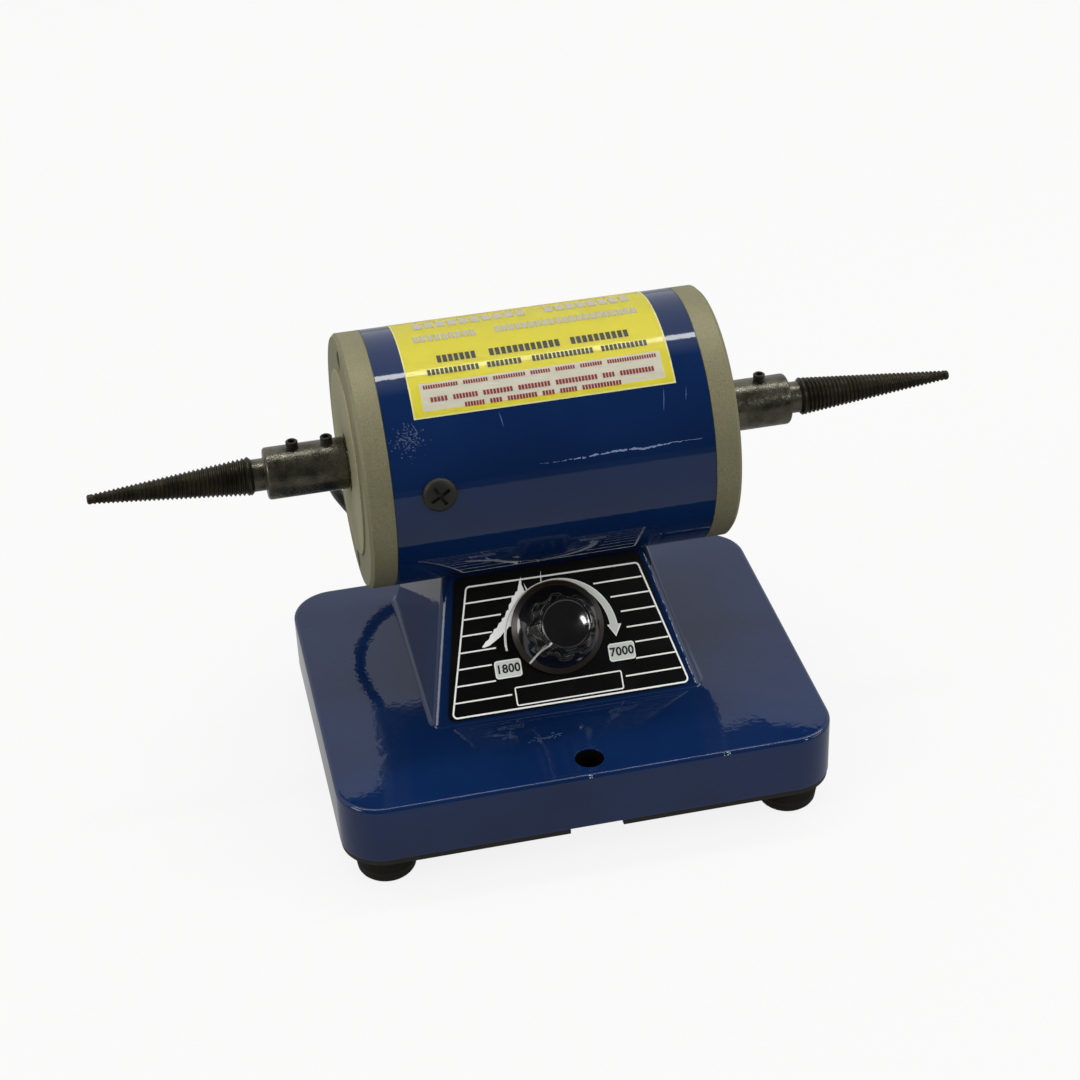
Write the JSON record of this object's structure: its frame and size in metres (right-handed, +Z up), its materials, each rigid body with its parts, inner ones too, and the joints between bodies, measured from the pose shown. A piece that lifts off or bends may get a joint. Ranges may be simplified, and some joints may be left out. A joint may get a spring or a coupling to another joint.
{
  "type": "bench polishing lathe",
  "caption": "Variable speed bench polishing lathe: a drum motor in a saddle on a cast base turns a tapered screw spindle at each end, with a speed dial on the sloping front.",
  "frame": {"origin": "on the bench, under the middle of the base casting", "axes": "+X to the right along the spindle axis, +Y to the back, +Z up"},
  "size_m": [0.3636, 0.1705, 0.1902],
  "materials": {
    "blue_paint": "gloss",
    "cast_aluminium": "bead blasted",
    "black_sheet": "satin",
    "black_plate": "gloss",
    "black_rubber": "matt",
    "lead_sleeve": "satin",
    "plated_steel": "bright",
    "brass_fittings": "bright",
    "black_screw": "oiled",
    "black_oxide_steel": "oiled",
    "ground_steel": "ground",
    "ferrite": "matt",
    "core_steel": "laminated",
    "copper": "lacquered",
    "black_moulding": "satin",
    "black_gloss_moulding": "gloss",
    "carbon": "matt",
    "pot_case": "plated",
    "circuit_board": "lacquered",
    "black_anodised": "anodised",
    "capacitor_sleeve": "gloss",
    "green_moulding": "gloss"
  },
  "bodies": {
    "frame": {"base_casting": "blue_paint", "bottom_cover": "black_sheet", "foot_front_left": "black_rubber", "foot_front_right": "black_rubber", "foot_rear_left": "black_rubber", "foot_rear_right": "black_rubber", "foot_screws": "plated_steel", "motor_bolts": "plated_steel", "motor_shell": "blue_paint", "end_cap_left": "cast_aluminium", "end_cap_right": "cast_aluminium", "tie_bolts": "plated_steel", "field_magnet_back": "ferrite", "field_magnet_front": "ferrite", "bearing_outer_left": "ground_steel", "bearing_outer_right": "ground_steel", "preload_washer": "plated_steel", "brush_holder_back": "black_moulding", "brush_holder_front": "black_moulding", "brush_cap_back": "black_moulding", "brush_cap_front": "black_moulding", "carbon_brush_back": "carbon", "carbon_brush_front": "carbon", "brush_spring_back": "plated_steel", "brush_spring_front": "plated_steel", "motor_lead": "lead_sleeve", "lead_grommet_cap": "black_rubber", "lead_grommet_pedestal": "black_rubber", "control_plate": "black_plate", "speed_pot": "pot_case", "pot_nut": "plated_steel", "switch_body": "black_moulding", "cord_gland": "black_moulding", "control_board": "circuit_board", "board_standoffs": "brass_fittings", "board_screws": "plated_steel", "heat_sink": "black_anodised", "filter_capacitor": "capacitor_sleeve", "choke_coil": "copper", "terminal_block": "green_moulding"},
    "rotor": {"motor_shaft": "ground_steel", "bearing_inner_left": "ground_steel", "bearing_inner_right": "ground_steel", "armature_core": "core_steel", "armature_windings": "copper", "commutator": "copper", "tapered_spindle_left": "black_oxide_steel", "tapered_spindle_right": "black_oxide_steel", "set_screws_left": "black_screw", "set_screws_right": "black_screw"},
    "knob": {"speed_knob": "black_gloss_moulding", "pot_shaft": "ground_steel"},
    "rocker": {"switch_rocker": "black_gloss_moulding"}
  },
  "joints": [
    {"name": "rotor_spin", "type": "hinge", "parent": "frame", "child": "rotor", "pos_m": [0, 0.027, 0.1377], "axis": [1, 0, 0], "continuous": true},
    {"name": "speed_dial", "type": "hinge", "parent": "frame", "child": "knob", "pos_m": [0, -0.01231, 0.06758], "axis": [0, 0.788, -0.6157], "range_deg": [0, 270]},
    {"name": "power_rocker", "type": "hinge", "parent": "frame", "child": "rocker", "pos_m": [0.024, 0.06113, 0.06262], "axis": [1, 0, 0], "range_deg": [0, 20]}
  ]
}
